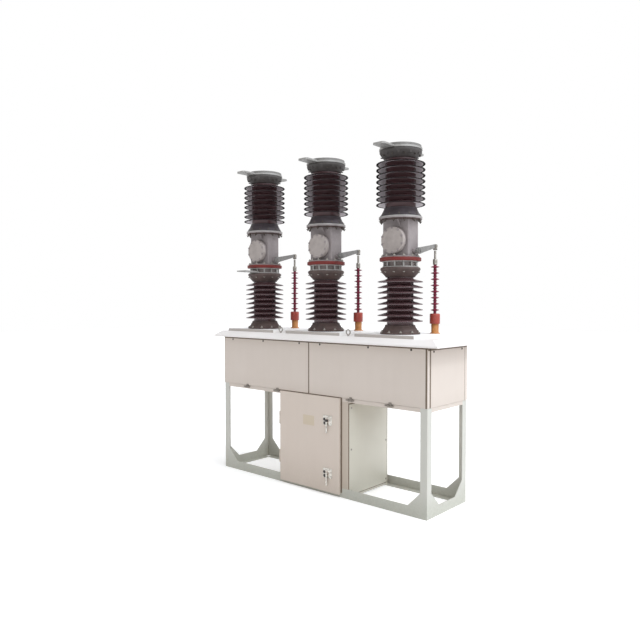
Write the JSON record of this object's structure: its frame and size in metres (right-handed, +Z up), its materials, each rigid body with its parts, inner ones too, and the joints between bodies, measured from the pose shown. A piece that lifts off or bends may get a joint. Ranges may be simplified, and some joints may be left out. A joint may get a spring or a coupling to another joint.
{
  "type": "vacuum circuit breaker",
  "caption": "Outdoor switch with upright ribbed insulator columns on a sheet-metal drive box, side cranks with pull rods, and a steel stand with a cabinet",
  "frame": {"origin": "on the ground at the centre of the four anchor holes, under the middle of the stand", "axes": "+X along the stand towards the crank side of the columns, +Y from the cabinet door to the back, +Z up"},
  "size_m": [2.5, 0.7465, 2.814],
  "materials": {
    "steel": "grey-green painted angle steel, dusty",
    "beam_steel": "painted steel",
    "panel": "warm light grey painted sheet, dusty",
    "roof": "light grey painted sheet, dusty",
    "plated": "dulled zinc plated steel",
    "cast": "grey painted casting",
    "porcelain": "brown glazed porcelain, dusty",
    "red_plastic": "red moulded insulating resin",
    "crank_steel": "dull grey forged steel",
    "silicone": "dark red silicone rubber sheds",
    "tube": "yellow passivated steel tube",
    "terminal": "dull aluminium"
  },
  "bodies": {
    "stand": {"base_rail_front": "steel", "base_rail_left": "steel", "base_rail_rear": "steel", "base_rail_right": "steel", "corner_gussets": "steel", "leg_front_left": "steel", "leg_front_right": "steel", "leg_rear_left": "steel", "leg_rear_right": "steel", "head_beam_front": "beam_steel", "head_beam_rear": "beam_steel", "front_cover_left": "panel", "front_cover_right": "panel", "rear_cover_left": "panel", "rear_cover_right": "panel", "end_cover_left": "panel", "end_cover_right": "panel", "box_floor_pan": "panel", "cabinet_back_wall": "panel", "cabinet_left_wall": "panel", "cabinet_right_wall": "panel", "cabinet_floor": "panel", "cabinet_roof": "panel", "cabinet_front_frame": "panel", "top_cover": "roof", "mounting_pads": "roof", "lifting_eyes_front": "plated", "lifting_eyes_rear": "plated", "cover_latches": "plated", "pole_base_flanges": "cast", "pole_middle_flanges": "cast", "pole_necks": "cast", "housing_covers": "cast", "upper_cones": "cast", "top_flanges": "cast", "crank_housing_a": "cast", "crank_housing_b": "cast", "crank_housing_c": "cast", "lower_insulator_a": "porcelain", "lower_insulator_b": "porcelain", "lower_insulator_c": "porcelain", "upper_insulator_a": "porcelain", "upper_insulator_b": "porcelain", "upper_insulator_c": "porcelain", "red_rings": "red_plastic", "guide_tubes": "tube", "terminal_plates": "terminal", "lower_terminal_a": "terminal"},
    "door": {"cabinet_door": "panel"},
    "lower_lock": {"lock_handle_lower": "plated"},
    "upper_lock": {"lock_handle_upper": "plated"},
    "crank_arm_a": {"crank_a": "crank_steel"},
    "rod_a": {"pull_rod_a": "silicone", "rod_hood_a": "red_plastic"},
    "crank_arm_b": {"crank_b": "crank_steel"},
    "rod_b": {"pull_rod_b": "silicone", "rod_hood_b": "red_plastic"},
    "crank_arm_c": {"crank_c": "crank_steel"},
    "rod_c": {"pull_rod_c": "silicone", "rod_hood_c": "red_plastic"}
  },
  "joints": [
    {"name": "door_hinge", "type": "hinge", "parent": "stand", "child": "door", "pos_m": [-0.37, -0.303, 0.405], "axis": [0, 0, -1], "range_deg": [0, 110]},
    {"name": "lower_lock_turn", "type": "hinge", "parent": "door", "child": "lower_lock", "pos_m": [0.194, -0.322, 0.18], "axis": [0, 1, 0], "range_deg": [0, 90]},
    {"name": "upper_lock_turn", "type": "hinge", "parent": "door", "child": "upper_lock", "pos_m": [0.194, -0.322, 0.62], "axis": [0, 1, 0], "range_deg": [0, 90]},
    {"name": "crank_turn_a", "type": "hinge", "parent": "stand", "child": "crank_arm_a", "pos_m": [-0.605, -0.1015, 1.996], "axis": [1, 0, 0], "range_deg": [-13.5, 0]},
    {"name": "rod_pin_a", "type": "hinge", "parent": "crank_arm_a", "child": "rod_a", "pos_m": [-0.605, 0.1285, 2.046], "axis": [1, 0, 0], "range_deg": [0, 13.5]},
    {"name": "crank_turn_b", "type": "hinge", "parent": "stand", "child": "crank_arm_b", "pos_m": [0.17, -0.1015, 1.996], "axis": [1, 0, 0], "range_deg": [-13.5, 0]},
    {"name": "rod_pin_b", "type": "hinge", "parent": "crank_arm_b", "child": "rod_b", "pos_m": [0.17, 0.1285, 2.046], "axis": [1, 0, 0], "range_deg": [0, 13.5]},
    {"name": "crank_turn_c", "type": "hinge", "parent": "stand", "child": "crank_arm_c", "pos_m": [0.945, -0.1015, 1.996], "axis": [1, 0, 0], "range_deg": [-13.5, 0]},
    {"name": "rod_pin_c", "type": "hinge", "parent": "crank_arm_c", "child": "rod_c", "pos_m": [0.945, 0.1285, 2.046], "axis": [1, 0, 0], "range_deg": [0, 13.5]}
  ],
  "couplings": [
    {"joint": "rod_pin_a", "follows": "crank_turn_a", "ratio": -1},
    {"joint": "crank_turn_b", "follows": "crank_turn_a", "ratio": 1},
    {"joint": "rod_pin_b", "follows": "crank_turn_a", "ratio": -1},
    {"joint": "crank_turn_c", "follows": "crank_turn_a", "ratio": 1},
    {"joint": "rod_pin_c", "follows": "crank_turn_a", "ratio": -1}
  ]
}
